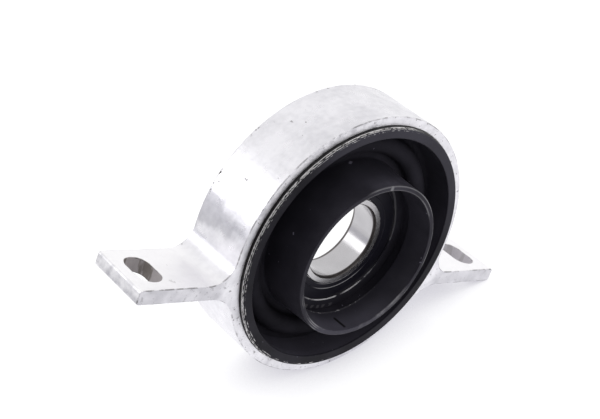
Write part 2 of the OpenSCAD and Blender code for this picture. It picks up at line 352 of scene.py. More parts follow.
def bracket_half_outline(sizes):
    """Right half of the bracket's section as (x, z) points: ring's bottom, ear, ring's top and seat."""
    ear_bottom = sizes.ear_top - sizes.ear_thickness
    low = fillet_centre(sizes.ring_radius, ear_bottom, sizes.lower_fillet, -1)
    high = fillet_centre(sizes.ring_radius, sizes.ear_top, sizes.upper_fillet, 1)
    low_turn = math.degrees(math.atan2(low[1], low[0]))
    high_turn = math.degrees(math.atan2(high[1], high[0]))
    tip_x = sizes.ear_tip - sizes.tip_round
    shaft = (0.0, 0.0)
    outline = arc(shaft, sizes.ring_radius, -90, low_turn, LOW_RING_STEPS)
    outline += arc(low, sizes.lower_fillet, low_turn + 180, 90)[1:]
    outline += arc((tip_x, ear_bottom + sizes.tip_round), sizes.tip_round, -90, 0, TIP_STEPS)
    outline += arc((tip_x, sizes.ear_top - sizes.tip_round), sizes.tip_round, 0, 90, TIP_STEPS)
    outline += arc(high, sizes.upper_fillet, 270, high_turn + 180)
    outline += arc(shaft, sizes.ring_radius, high_turn, 90, HIGH_RING_STEPS)[1:]
    return outline + arc(shaft, sizes.seat_radius, 90, -90, SEAT_STEPS)


def level_faces(bm, height):
    """Faces that lie flat at one height."""
    return [face for face in bm.faces if all(abs(vert.co.z - height) < TINY for vert in face.verts)]


def cut_slot(bm, sizes):
    """Cuts the bolt slot through the right ear."""
    heights = (sizes.ear_top, sizes.ear_top - sizes.ear_thickness)
    for height in heights:
        bmesh.ops.delete(bm, geom=level_faces(bm, height), context="FACES_ONLY")
    place = Matrix.Translation((sizes.slot_at, sizes.slot_middle, sizes.ear_top))
    half_step = Matrix.Rotation(math.pi / SLOT_STEPS, 4, "Z")
    rim = bmesh.ops.create_circle(bm, cap_ends=False, radius=sizes.slot_width / 2, segments=SLOT_STEPS,
                                  matrix=place @ half_step)["verts"]
    stretch = Vector((0.0, (sizes.slot_length - sizes.slot_width) / 2, 0.0))
    for vert in rim:
        vert.co += stretch if vert.co.y > sizes.slot_middle else -stretch
    rim_edges = list({edge for vert in rim for edge in vert.link_edges})
    wall = bmesh.ops.extrude_edge_only(bm, edges=rim_edges)["geom"]
    lower_rim = [item for item in wall if isinstance(item, bmesh.types.BMVert)]
    bmesh.ops.translate(bm, verts=lower_rim, vec=(0.0, 0.0, -sizes.ear_thickness))
    for height in heights:
        rims = [edge for edge in bm.edges
                if edge.is_boundary and all(abs(vert.co.z - height) < TINY for vert in edge.verts)]
        bmesh.ops.triangle_fill(bm, use_beauty=True, edges=rims)


def bracket_mesh(sizes):
    """Extrudes one half of the bracket, cuts its slot, mirrors it and breaks the sawn edges."""
    bm = bmesh.new()
    outline = bracket_half_outline(sizes)
    section = bm.faces.new([bm.verts.new((x, sizes.front, z)) for x, z in outline])
    drawn = bmesh.ops.extrude_face_region(bm, geom=[section])["geom"]
    far_verts = [item for item in drawn if isinstance(item, bmesh.types.BMVert)]
    bmesh.ops.translate(bm, verts=far_verts, vec=(0.0, sizes.back - sizes.front, 0.0))
    middle = [face for face in bm.faces if all(abs(vert.co.x) < TINY for vert in face.verts)]
    bmesh.ops.delete(bm, geom=middle, context="FACES")
    cut_slot(bm, sizes)
    bmesh.ops.mirror(bm, geom=bm.verts[:] + bm.edges[:] + bm.faces[:], matrix=Matrix.Identity(4),
                     merge_dist=TINY, axis="X")
    bmesh.ops.remove_doubles(bm, verts=bm.verts[:], dist=TINY)
    bmesh.ops.recalc_face_normals(bm, faces=bm.faces[:])
    edge_layer = bm.faces.layers.float.new(EDGE_ATTRIBUTE)
    sharp = [edge for edge in bm.edges if edge.calc_face_angle(0.0) > SHARP_ANGLE]
    broken = bmesh.ops.bevel(bm, geom=sharp, offset=sizes.edge_bevel, offset_type="OFFSET", affect="EDGES",
                             segments=EDGE_SEGMENTS, profile=0.5, material=-1, clamp_overlap=True)["faces"]
    for face in broken:
        face[edge_layer] = 1.0
    return bm


# Sleeve and rubber


def sleeve_outline(rubber):
    """Section of the steel sleeve."""
    outside = SLEEVE_HIGH.x
    inside = outside - rubber.sleeve_wall
    bevel = rubber.sleeve_bevel
    edge = bevel / 3
    return [
        (inside, SLEEVE_LOW.y),
        (outside - bevel, SLEEVE_LOW.y, edge),
        (outside, SLEEVE_LOW.y + bevel, edge),
        (outside, SLEEVE_HIGH.y, edge),
        (inside, SLEEVE_HIGH.y, edge),
    ]


def hub_outline(rubber, fold_y):
    """Hub that grips the bearing between two lips, and the collar before it, from rear lip to fold."""
    race = OUTER_HIGH.x
    half = OUTER_HIGH.y
    lip = race - rubber.lip_reach
    lip_front = -half - rubber.front_lip
    throat_y = lip_front - rubber.undercut_length
    hub = race + rubber.hub_wall
    collar = hub - rubber.collar_taper
    edge = rubber.moulded_edge
    return [
        (lip, half + rubber.rear_lip, edge),
        (lip, half),
        (race, half),
        (race, -half),
        (lip, -half),
        (lip, lip_front, edge / 2),
        (race + rubber.undercut_depth, lip_front),
        (race + rubber.undercut_depth, throat_y),
        (race - rubber.throat_step, throat_y, edge),
        (collar - rubber.collar_wall, RUBBER_LOW.y, edge),
        (collar, RUBBER_LOW.y, edge),
        (hub, fold_y),
    ]


def rubber_outline(rubber):
    """Section of the rubber: hub and collar, membrane's front, layer in the sleeve, membrane's rear."""
    sleeve_in = SLEEVE_HIGH.x - rubber.sleeve_wall
    layer = sleeve_in - rubber.layer
    hub = OUTER_HIGH.x + rubber.hub_wall
    rim_front = SLEEVE_LOW.y - rubber.rim_skin
    valley = (layer - hub - 2 * rubber.fold) / 6
    crest = valley + rubber.fold
    fold_y = rim_front + rubber.crest_depth + crest
    inner_valley = (hub + valley, fold_y)
    top = (hub + 2 * valley + crest, fold_y)
    outer_valley = (layer - valley, fold_y)
    wall_turn = math.degrees(math.acos(valley / crest))
    edge = rubber.moulded_edge
    front_side = (arc(inner_valley, valley, 180, 0)[1:] + arc(top, crest, -180, 0)[1:]
                  + arc(outer_valley, valley, 180, 0)[1:])
    layer_round = [
        (layer, rim_front, 1.5 * edge),
        (RUBBER_HIGH.x, rim_front, edge / 2),
        (RUBBER_HIGH.x, SLEEVE_LOW.y),
        (sleeve_in, SLEEVE_LOW.y),
        (sleeve_in, RUBBER_HIGH.y),
        (layer, RUBBER_HIGH.y, 2 * edge),
    ]
    rear_side = (arc(outer_valley, crest, wall_turn, 180) + arc(top, valley, 0, -180)[1:]
                 + arc(inner_valley, crest, 0, 180 - wall_turn)[1:])
    rear_corner = [(hub, OUTER_HIGH.y + rubber.rear_lip, 2 * edge)]
    return hub_outline(rubber, fold_y) + front_side + layer_round + rear_side + rear_corner


# Races and seals


def race_radii():
    """Radii of the pitch circle and of the inner and outer races' shoulders."""
    pitch = (BORE["r_mm"] * MM + OUTER_HIGH.x) / 2
    inner_land = INNER_HIGH.x
    return pitch, inner_land, 2 * pitch - inner_land


def inner_race_outline(bearing):
    """Section of the inner race, with its bore's rounded lead-ins, the seals' steps and the raceway."""
    bore = BORE["r_mm"] * MM
    half = INNER_HIGH.y
    pitch, land, _ = race_radii()
    step = land - bearing.step_in
    land_half = half - bearing.seal_recess - bearing.seal_thickness - bearing.lip_gap
    lead_radius = (bearing.lead_length ** 2 + bearing.lead_depth ** 2) / (2 * bearing.lead_depth)
    lead_turn = math.degrees(math.asin(bearing.lead_length / lead_radius))
    lead_y = half - bearing.lead_length
    groove = (pitch - bearing.ball_radius - bearing.ball_clear + bearing.groove_radius, 0.0)
    groove_turn = math.degrees(math.acos((groove[0] - land) / bearing.groove_radius))
    edge = bearing.ground_edge
    front_lead = arc((bore + lead_radius, -lead_y), lead_radius, 180, 180 + lead_turn, LEAD_STEPS)
    rear_lead = arc((bore + lead_radius, lead_y), lead_radius, 180 - lead_turn, 180, LEAD_STEPS)
    raceway = arc(groove, bearing.groove_radius, 180 + groove_turn, 180 - groove_turn, RACEWAY_STEPS)
    return (front_lead + [(step, -half, edge), (step, -land_half), (land, -land_half, edge)] + raceway
            + [(land, land_half, edge), (step, land_half), (step, half, edge)] + rear_lead)


def outer_race_outline(bearing):
    """Section of the outer race, with the seals' steps and the raceway."""
    half = OUTER_HIGH.y
    outside = OUTER_HIGH.x
    pitch, _, land = race_radii()
    step = land + bearing.step_out
    step_y = half - bearing.seal_recess - bearing.seal_thickness
    groove = (pitch + bearing.ball_radius + bearing.ball_clear - bearing.groove_radius, 0.0)
    groove_turn = math.degrees(math.acos((land - groove[0]) / bearing.groove_radius))
    chamfer = bearing.race_chamfer
    edge = bearing.ground_edge
    raceway = arc(groove, bearing.groove_radius, groove_turn, -groove_turn, RACEWAY_STEPS)
    return [
        (step, -half, edge), (outside - chamfer, -half, edge), (outside, chamfer - half, edge),
        (outside, half - chamfer, edge), (outside - chamfer, half, edge), (step, half, edge),
        (step, step_y), (land, step_y),
    ] + raceway + [(land, -step_y), (step, -step_y)]


def seal_outline(bearing, side):
    """Section of a seal with its bead; side is 1 at the rear and -1 at the front."""
    _, inner_land, outer_land = race_radii()
    outside = OUTER_HIGH.y - bearing.seal_recess
    inside = outside - bearing.seal_thickness
    inner = inner_land - bearing.step_in + bearing.lip_gap
    outer = outer_land + bearing.step_out
    bead = (inner_land - bearing.step_in + bearing.bead_offset, outside)
    edge = bearing.ground_edge
    outline = [(inner, inside, edge), (outer, inside), (outer, outside, edge)]
    outline += arc(bead, bearing.bead, 0, 180, BEAD_STEPS) + [(inner, outside, 2 * edge)]
    return [(point[0], side * point[1], *point[2:]) for point in outline]


# Shader nodes


class NodeValue:
    """Output of a node. The signs + - * and abs add Math nodes, and | takes the larger of two values."""

    def __init__(self, shading, socket):
        self.shading = shading
        self.socket = socket

    def __add__(self, other):
        return self.shading.maths("ADD", self, other)

    def __sub__(self, other):
        return self.shading.maths("SUBTRACT", self, other)

    def __rsub__(self, other):
        return self.shading.maths("SUBTRACT", other, self)

    def __mul__(self, other):
        return self.shading.maths("MULTIPLY", self, other)

    def __or__(self, other):
        return self.shading.maths("MAXIMUM", self, other)

    def __abs__(self):
        return self.shading.maths("ABSOLUTE", self)

    __radd__ = __add__
    __rmul__ = __mul__
    __ror__ = __or__


class Shading:
    """Adds nodes to one tree."""

    here = None

    def __init__(self, tree):
        self.tree = tree
        tree.nodes.clear()

    def fill(self, socket, value):
        """Links an output into an input, or sets the input to a plain value."""
        if isinstance(value, NodeValue):
            self.tree.links.new(value.socket, socket)
        else:
            socket.default_value = value

    def node(self, kind, *values, options=None, **named_values):
        """Adds a node, sets its options and fills its inputs in order or by name."""
        node = self.tree.nodes.new(kind)
        for option, value in (options or {}).items():
            setattr(node, option, value)
        for socket, value in zip(node.inputs, values):
            self.fill(socket, value)
        for name, value in named_values.items():
            self.fill(node.inputs[name.replace("_", " ")], value)
        return node

    def outputs(self, kind, **settings):
        """Adds a node and gives its outputs by name."""
        return {socket.name: NodeValue(self, socket) for socket in self.node(kind, **settings).outputs}

    def value(self, output, kind, *values, **settings):
        """Adds a node and gives one of its outputs."""
        return NodeValue(self, self.node(kind, *values, **settings).outputs[output])

    def maths(self, operation, *values):
        """Result of a Math node."""
        return self.value("Value", "ShaderNodeMath", *values, options={"operation": operation})

    def reach(self, first, second):
        """Length of the long side of a right triangle."""
        return self.maths("SQRT", self.maths("POWER", first, 2.0) + self.maths("POWER", second, 2.0))

    def step(self, value, start, end):
        """0 before start, 1 after end and a smooth rise between them."""
        return self.value("Result", "ShaderNodeMapRange", Value=value, From_Min=start, From_Max=end,
                          options={"interpolation_type": "SMOOTHSTEP"})

    def blend(self, share, first, second):
        """Colour between two others; share 0 is the first."""
        node = self.node("ShaderNodeMix", share, options={"data_type": "RGBA"})
        self.fill(node.inputs[MIX_FIRST], opaque(first))
        self.fill(node.inputs[MIX_SECOND], opaque(second))
        return NodeValue(self, node.outputs[MIX_RESULT])

    def parts(self, vector):
        """The three parts of a vector by name."""
        return self.outputs("ShaderNodeSeparateXYZ", Vector=vector)

    def join(self, **parts):
        """Vector of the parts that are given."""
        return self.value("Vector", "ShaderNodeCombineXYZ", **parts)

    def stretched(self, scale, turn=(0.0, 0.0, 0.0)):
        """The surface's point scaled along each axis, which draws a pattern out into lines."""
        return self.value("Vector", "ShaderNodeMapping", Vector=self.here, Scale=scale, Rotation=turn)

    def point(self, at):
        """The point that is given, or else the surface's own."""
        return self.here if at is None else at

    def noise(self, scale, detail, at=None, **settings):
        """Plain noise."""
        return self.value("Fac", "ShaderNodeTexNoise", Vector=self.point(at), Scale=scale, Detail=detail,
                          **settings)

    def group(self, name, **values):
        """Outputs of a shared node group by name; the group is made the first time."""
        tree = bpy.data.node_groups.get(name) or make_group(name)
        return self.outputs("ShaderNodeGroup", options={"node_tree": tree}, **values)

    def band(self, value, low, high, soft):
        """Mask of 1 from low to high, with soft ends."""
        return self.group("Band", Value=value, From=low, To=high, Soft=soft)["Mask"]

    def marks(self, scale, level, soft, at=None):
        """Mask of scattered marks: level sets how few there are."""
        return self.group("Scattered marks", Vector=self.point(at), Scale=scale, Level=level,
                          Soft=soft)["Mask"]

    def uneven(self, scale, low, high, at=None):
        """Value that drifts between low and high."""
        return self.group("Uneven finish", Vector=self.point(at), Scale=scale, Low=low, High=high)["Value"]


class Finish(Shading):
    """Starts a material with one shader, and holds the surface's point in the object's coordinates."""

    def __init__(self, name, **shader_values):
        self.material = bpy.data.materials.new(name)
        self.material.use_nodes = True
        super().__init__(self.material.node_tree)
        self.shader = self.node("ShaderNodeBsdfPrincipled", **shader_values)
        self.surface = NodeValue(self, self.shader.outputs["BSDF"])
        self.output = self.node("ShaderNodeOutputMaterial", Surface=self.surface)
        coordinates = self.outputs("ShaderNodeTexCoord")
        self.here = coordinates["Object"]
        self.normal = coordinates["Normal"]

    def find_shaft(self):
        """Finds the point's angle, its radius and its place along the shaft."""
        shaft = self.group("Round the shaft", Vector=self.here)
        self.angle, self.radius, self.along = shaft["Angle"], shaft["Radius"], shaft["Along"]

    def sector(self, low, high, soft):
        """Mask of a sector round the shaft, in degrees."""
        return self.band(self.angle, low, high, soft)

    def ring(self, radius, low, high, soft):
        """Mask of a ring from low to high, in millimetres off a radius."""
        return self.band(self.radius, radius + low * MM, radius + high * MM, soft * MM)

    def slice(self, along, low, high, soft):
        """Mask of a slice across the shaft from low to high, in millimetres off a place along it."""
        return self.band(self.along, along + low * MM, along + high * MM, soft * MM)

    def beyond(self, radius, start, end):
        """Mask that rises from start to end, in millimetres off a radius."""
        return self.step(self.radius, radius + start * MM, radius + end * MM)

    def behind(self, along, start, end):
        """Mask that rises from start to end, in millimetres off a place along the shaft."""
        return self.step(self.along, along + start * MM, along + end * MM)

    def facing(self, start, end):
        """Mask of the faces that look along the shaft, forwards or back."""
        return self.step(abs(self.parts(self.normal)["Y"]), start, end)

    def stroke(self, angle, along, turn, length, width):
        """Mask of a single stroke, in degrees and millimetres."""
        return self.group("Stroke", Angle=self.angle, Radius=self.radius, Along=self.along, At_Angle=angle,
                          At_Along=along * MM, Turn=math.radians(turn), Length=length * MM,
                          Width=width * MM)["Mask"]

    def rim_scratches(self):
        """Mask of the scratches on the sleeve's front corner."""
        return self.group("Rim scratches", Vector=self.here)["Mask"]

    def dress(self, **values):
        """Feeds the shader's inputs."""
        for name, value in values.items():
            self.fill(self.shader.inputs[name.replace("_", " ")], value)

    def bump(self, height, strength, distance):
        """Feeds a height in millimetres into the shader's normal."""
        self.dress(Normal=self.value("Normal", "ShaderNodeBump", Height=height, Strength=strength,
                                     Distance=distance * MM))


def opaque(value):
    """A plain colour with full alpha; a node's colour stays as it is."""
    return value if isinstance(value, NodeValue) else (*value, 1.0)


# Shared node groups


def round_shaft_group(group, point):
    """Angle of a point from the left side in degrees, its radius and its place along the shaft."""
    parts = group.parts(point)
    turn = group.maths("ARCTAN2", parts["Z"], -1.0 * parts["X"])
    return group.maths("DEGREES", turn), group.reach(parts["X"], parts["Z"]), parts["Y"]


def band_group(group, value, low, high, soft):
    """Mask of 1 from low to high, with soft ends."""
    return [group.step(value, low - soft, low) * group.step(value, high + soft, high)]


def marks_group(group, point, scale, level, soft):
    """Mask of scattered marks: level sets how few there are."""
    noise = group.noise(scale, detail=3.0, at=point, Roughness=0.6)
    return [group.step(noise, level, level + soft)]


def uneven_group(group, point, scale, low, high):
    """Value that drifts between low and high over the surface."""
    noise = group.noise(scale, detail=4.0, at=point)
    return [group.value("Result", "ShaderNodeMapRange", Value=noise, From_Min=0.3, From_Max=0.7, To_Min=low,
                        To_Max=high)]


def rim_scratch_group(group, point):
    """Mask of thin broken lines scratched round the sleeve's front corner on its left side."""
    shaft = group.group("Round the shaft", Vector=point)
    across = SLEEVE_HIGH.x + BRACKET_LOW.y - (shaft["Radius"] + shaft["Along"])
    lines = 0.0
    for place, share, level in RIM_SCRATCHES:
        turn = group.join(X=shaft["Angle"], Y=90 * place)
        drift = group.uneven(0.12, -0.1 * MM, 0.1 * MM, at=turn)
        low, high = (place - SCRATCH_HALF) * MM, (place + SCRATCH_HALF) * MM
        line = group.band(across + drift, low, high, 0.08 * MM)
        lines |= share * line * group.marks(0.45, level, soft=0.18, at=turn)
    side = group.band(shaft["Angle"], -92.0, 92.0, 14.0)
    outward = group.step(shaft["Radius"], SLEEVE_HIGH.x - 2.5 * MM, SLEEVE_HIGH.x - 1.8 * MM)
    return [lines * side * outward]


def stroke_group(group, angle, radius, along, at_angle, at_along, turn, length, width):
    """Mask of a single stroke on a round surface, turned from round the shaft to along it."""
    around = group.maths("RADIANS", angle - at_angle) * radius
    ahead = along - at_along
    cosine = group.maths("COSINE", turn)
    sine = group.maths("SINE", turn)
    lengthwise = abs(around * cosine + ahead * sine)
    sideways = abs(ahead * cosine - around * sine)
    ends = group.step(lengthwise, 0.5 * length, 0.35 * length)
    return [ends * group.step(sideways, 0.5 * width, 0.15 * width)]


# Each group's function, inputs and outputs
GROUPS = {
    "Round the shaft": (round_shaft_group, ["Vector"], ["Angle", "Radius", "Along"]),
    "Band": (band_group, ["Value", "From", "To", "Soft"], ["Mask"]),
    "Scattered marks": (marks_group, ["Vector", "Scale", "Level", "Soft"], ["Mask"]),
    "Uneven finish": (uneven_group, ["Vector", "Scale", "Low", "High"], ["Value"]),
    "Rim scratches": (rim_scratch_group, ["Vector"], ["Mask"]),
    "Stroke": (stroke_group, ["Angle", "Radius", "Along", "At Angle", "At Along", "Turn", "Length", "Width"],
               ["Mask"]),
}


def make_group(name):
    """Makes a shared node group. A socket named Vector holds a vector, and every other one a number."""
    function, inputs, outputs = GROUPS[name]
    tree = bpy.data.node_groups.new(name, "ShaderNodeTree")
    for in_out, sockets in (("INPUT", inputs), ("OUTPUT", outputs)):
        for socket in sockets:
            kind = "NodeSocketVector" if socket == "Vector" else "NodeSocketFloat"
            tree.interface.new_socket(socket, in_out=in_out, socket_type=kind)
    group = Shading(tree)
    given = group.outputs("NodeGroupInput")
    group.node("NodeGroupOutput", *function(group, *[given[socket] for socket in inputs]))
    return tree


# Finishes


def aluminium_finish(colours, bracket):
    """Extruded aluminium: drawn lines along the shaft, blotches, sawn ends, a painted highlight on the ears,
    slots painted dark as shade with stain streaks, nicks and edges.
    """
    metal = Finish("extruded_aluminium", Metallic=1.0)
    metal.find_shaft()
    sawn = metal.facing(0.7, 0.95)
    ear = metal.beyond(bracket.ring_radius, 1.0, 8.0)
    slot = slot_mask(metal, bracket)
    dirt = aluminium_dirt(metal, sawn, ear, bracket)
    # Painted highlight: the ears' unsawn faces take the lighter aluminium
    tint = metal.blend(ear * (1.0 - sawn), colours.aluminium, colours.clean_aluminium)
    tint = metal.blend(aluminium_dullness_and_shade(metal, sawn, ear, bracket), tint, colours.dull_aluminium)
    # Painted shade inside the bolt slots, streaked with stains; the right slot's walls are painted halfway
    # back to bare aluminium
    streaks = metal.marks(260.0, level=0.48, soft=0.08, at=metal.stretched((1.0, 1.0, 0.2)))
    slot_shade_and_streaks = metal.blend(streaks, colours.slot_wall, colours.slot_stain)
    lighter_right_slot = 0.5 * metal.step(metal.parts(metal.here)["X"], 0.0, bracket.ring_radius)
    tint = metal.blend(slot, tint, metal.blend(lighter_right_slot, slot_shade_and_streaks, colours.aluminium))
    rough = metal.uneven(240.0, 0.25, 0.38) + 0.14 * sawn + 0.16 * ear + 0.2 * slot + 0.25 * dirt
    metal.dress(Base_Color=metal.blend(dirt, tint, colours.grime), Roughness=rough)
    metal.bump(aluminium_height(metal, sawn, ear, dirt), strength=0.5, distance=0.2)
    return metal.material


def aluminium_dirt(metal, sawn, ear, bracket):
    """Mask of nicks, dots along the back edge, pits on the sawn ends and the dark broken edges."""
    slanted = metal.stretched((1.0, 0.55, 1.0), (0.3, 0.0, 0.5))
    nicks = metal.marks(420.0, level=0.705, soft=0.03, at=slanted) * (0.6 - 0.38 * ear)
    back_edge = metal.slice(bracket.back, -0.7, 0.0, 0.6)
    dots = back_edge * metal.marks(330.0, level=0.6, soft=0.06) * (1.0 - sawn)
    pits = sawn * (0.55 - 0.3 * ear) * metal.marks(620.0, level=0.6, soft=0.1)
    edge = metal.value("Fac", "ShaderNodeAttribute", options={"attribute_name": EDGE_ATTRIBUTE})
    worn = 0.55 * edge * metal.marks(260.0, level=0.42, soft=0.2)
    return nicks | dots | pits | worn


def aluminium_dullness_and_shade(metal, sawn, ear, bracket):
    """Share of the dull colour: stains, a painted dark reflection on the ring's left, painted light and
    shade on the sawn faces' upper left, painted shade on the ears' sawn faces and tips, and rubbed blotches.
    """
    forward = (bracket.back - metal.along) * (1 / (BRACKET_HIGH.y - BRACKET_LOW.y))
    # Painted reflection: a dark patch on the ring's left side that slants along the shaft
    outside = abs(metal.angle - DARK_REFLECTION_ANGLE) + metal.uneven(150.0, -3.0, 3.0) + 10.0 * forward - 10.0
    dark_reflection_wedge = 0.6 * metal.step(outside, 2.0, -4.0)
    stains = metal.uneven(60.0, -0.1, 0.36) * (1.0 - 0.85 * ear)
    grain = metal.uneven(420.0, -0.12, 0.12) * (1.0 - 0.7 * ear)
    # Painted light and shade: mottling only on the upper left of the sawn faces
    rim = metal.sector(32.0, 66.0, 30.0) * sawn * metal.uneven(300.0, -0.7, 0.5)
    across = abs(metal.parts(metal.here)["X"])
    tip = metal.step(across, BRACKET_HIGH.x - 0.8 * MM, BRACKET_HIGH.x - 0.1 * MM)
    # Painted shade: the ears' sawn faces and the tips are darker
    ends = 0.3 * (tip | sawn * ear)
    rubbed = (tip | 0.35 * sawn) * metal.uneven(190.0, -0.3, 0.7)
    return metal.value("Result", "ShaderNodeClamp", stains + grain + rim + dark_reflection_wedge + ends + rubbed)


def slot_mask(metal, bracket):
    """Mask of the walls of the two bolt slots."""
    across = abs(metal.parts(metal.here)["X"]) - bracket.slot_at
    along = abs(metal.along - bracket.slot_middle) - (bracket.slot_length - bracket.slot_width) / 2
    radius = bracket.slot_width / 2
    return metal.step(metal.reach(across, along | 0.0), radius + 0.3 * MM, radius + 0.1 * MM)


def aluminium_height(metal, sawn, ear, dirt):
    """Height of the drawn lines, the saw marks, the blotches of the ring and the pits."""
    drawn = metal.noise(900.0, detail=3.0, at=metal.stretched((1.0, 0.05, 1.0)))
    saw = metal.noise(1700.0, detail=4.0, at=metal.stretched((0.12, 1.0, 1.0), (0.0, 0.35, 0.0)))
    blotches = metal.noise(130.0, detail=5.0, at=metal.stretched((1.0, 0.6, 1.0)), Roughness=0.6)
    return drawn * (0.35 - 0.35 * sawn) + 0.7 * saw * sawn + blotches * (1.5 - 1.1 * ear) - 0.8 * dirt


def coated_steel_finish(colours):
    """Black coated sleeve, worn bright in broken scratches along its front corner."""
    steel = Finish("coated_steel", Specular_IOR_Level=0.3)
    worn = steel.rim_scratches()
    steel.dress(Base_Color=steel.blend(worn, colours.coating, colours.worn_steel),
                Metallic=WORN_METAL * worn, Roughness=steel.uneven(160.0, 0.36, 0.52))
    steel.bump(worn, strength=0.3, distance=0.1)
    return steel.material


def rubber_finish(colours, rubber):
    """Moulded black rubber: fine grain, specks, painted sheen at the top and bottom, painted shade in the
    fold and on the rim below its top, painted highlights on its edges, a cut painted black and scratches at
    the rim.
    """
    black = Finish("moulded_rubber", Specular_IOR_Level=0.08, Specular_Tint=RUBBER_SHEEN,
                   Coat_Roughness=0.36)
    black.find_shaft()
    rim_front = SLEEVE_LOW.y - rubber.rim_skin
    upper = black.sector(70.0, 140.0, 40.0)
    bottom = black.sector(-115.0, -80.0, 35.0)
    outward = black.beyond(RUBBER_HIGH.x, -4.0, -3.0)
    rim = outward * black.slice(rim_front, -0.3, 0.3, 0.3)
    wall = outward * black.behind(rim_front, 0.2, 1.0)
    collar = black.behind(RUBBER_LOW.y, 9.0, 2.0)
    fold = (1.0 - outward) * black.behind(rim_front, 2.0, 5.0)
    fold *= black.beyond(OUTER_HIGH.x + rubber.hub_wall, 0.0, 1.0)
    # Painted sheen: a lighter patch on top of the collar
    sheen = black.sector(78.0, 100.0, 14.0) * black.uneven(190.0, 0.0, 0.075)
    specks = black.marks(420.0, level=0.722, soft=0.02)
    # Tone, a film on the groove's wall and specks, plus painted sheen along the rim's top and at the bottom
    # of the groove's wall and the collar
    dust = black.uneven(70.0, -0.02, 0.04) + 0.055 * rim * upper + wall * (0.09 + 0.3 * bottom)
    dust += collar * (sheen + 0.11 * bottom) + 0.4 * specks
    for angle, along, size in SPECKS:
        dust += 0.6 * black.stroke(angle, along, SPECK_TURN, size, 0.7 * size)
    # Painted shade: the fold in the groove and the rim are darkened towards black, except at the top
    painted_shade = fold * (0.45 - 0.45 * upper) | 0.6 * rim * (1.0 - upper)
    cut = black.stroke(*CUT)
    scratches = black.rim_scratches()
    tint = black.blend(painted_shade, colours.rubber, NO_LIGHT)
    tint = black.blend(dust, tint, colours.dust)
    tint = black.blend(collar_highlights_and_mark(black, rubber) | lip_highlights_and_notches(black, rubber), tint, colours.worn_rubber)
    # The cut's groove is a bump; its black is painted shade inside it
    tint = black.blend(cut, tint, NO_LIGHT)
    black.dress(Base_Color=black.blend(scratches, tint, colours.worn_steel), Metallic=WORN_METAL * scratches,
                Coat_Weight=0.2 * collar * black.behind(RUBBER_LOW.y, 0.2, 0.6),
                Roughness=black.uneven(70.0, 0.36, 0.5) + 0.35 * fold + 0.4 * cut)
    black.bump(black.noise(1500.0, detail=3.0) + 1.5 * specks - 5.0 * cut, strength=0.12, distance=0.1)
    return black.material


def collar_highlights_and_mark(black, rubber):
    """Painted highlights on the two edges of the collar's rim, and a moulding mark that crosses it."""
    outside = OUTER_HIGH.x + rubber.hub_wall - rubber.collar_taper
    inside = outside - rubber.collar_wall
    low = black.sector(-145.0, -35.0, 15.0)
    left = black.sector(-50.0, 60.0, 15.0)
    top = black.sector(66.0, 136.0, 16.0)
    mark = black.sector(83.0, 84.4, 1.2)
    outer = black.ring(outside, -0.3, 0.3, 0.1) * (1.0 - left)
    inner = black.ring(inside, -0.3, 0.3, 0.1) | low * black.ring(inside, 0.7, 0.9, 0.1)
    inner *= low | 0.7 * top
    broken = black.marks(90.0, level=0.44, soft=0.22) | 0.6 * top
    return black.slice(RUBBER_LOW.y, 0.0, 0.3, 0.2) * (0.3 * (outer | inner) * broken | 0.28 * mark)


def lip_highlights_and_notches(black, rubber):
    """Faint painted highlights on the front lip's edge at the bottom and at the right, notches, and a
    painted highlight along the throat's edge with specks on it.
    """
    lip = OUTER_HIGH.x - rubber.lip_reach
    lip_front = -OUTER_HIGH.y - rubber.front_lip
    throat = OUTER_HIGH.x - rubber.throat_step
    throat_y = lip_front - rubber.undercut_length
    # Painted highlight along the front lip's bottom edge, broken up
    line = black.ring(lip, -0.1, 0.3, 0.15) * black.sector(-145.0, -80.0, 16.0)
    line *= black.marks(170.0, level=0.34, soft=0.2)
    offset = 1.6 * MM * black.step(black.angle, 152.0, 118.0)
    # Painted highlight at the right, following the lip's edge
    right_highlight = black.band(black.radius - lip - offset, -0.2 * MM, 0.4 * MM, 0.25 * MM)
    right_highlight *= 0.12 * black.step(black.angle, 108.0, 130.0)
    wave = (black.angle + black.uneven(330.0, -1.6, 1.6)) * (FULL_TURN / NOTCH_SPACING)
    notches = black.ring(0.0, *NOTCH_RADII, 0.4) * black.sector(-102.0, -76.0, 5.0)
    notches *= 0.09 * black.step(black.maths("SINE", wave), -0.2, 0.4)
    # Faint painted highlight along the throat's edge, with brighter specks
    throat_highlight_and_flecks = black.slice(throat_y, -0.5, 0.2, 0.3) * black.beyond(throat, 0.5, 0.2)
    throat_highlight_and_flecks *= black.sector(-125.0, -75.0, 20.0) * (0.05 + 0.4 * black.marks(900.0, level=0.56, soft=0.06))
    return black.slice(lip_front, -0.3, 0.2, 0.2) * (line | right_highlight | notches) | throat_highlight_and_flecks


def race_finish(colours, bearing):
    """Ground race steel: fine lines round the shaft, satin end faces, and lead-ins at the bore painted dark
    for the dark reflection they show.
    """
    steel = Finish("ground_steel", Metallic=1.0)
    steel.find_shaft()
    bore = BORE["r_mm"] * MM
    lead = steel.band(steel.radius, bore + 0.04 * MM, bore + bearing.lead_depth + 0.08 * MM, 0.04 * MM)
    tint = steel.blend(steel.uneven(140.0, 0.0, 0.28), colours.race_steel, colours.smeared_steel)
    rough = steel.uneven(240.0, 0.16, 0.24) + 0.04 * steel.facing(0.8, 0.95) + 0.2 * lead
    steel.dress(Base_Color=steel.blend(lead, tint, colours.lead_in), Roughness=rough)
    across = steel.join(X=steel.radius, Y=steel.along, Z=0.02 * MM * steel.angle)
    steel.bump(steel.noise(5200.0, detail=3.0, at=across), strength=0.06, distance=0.05)
    return steel.material


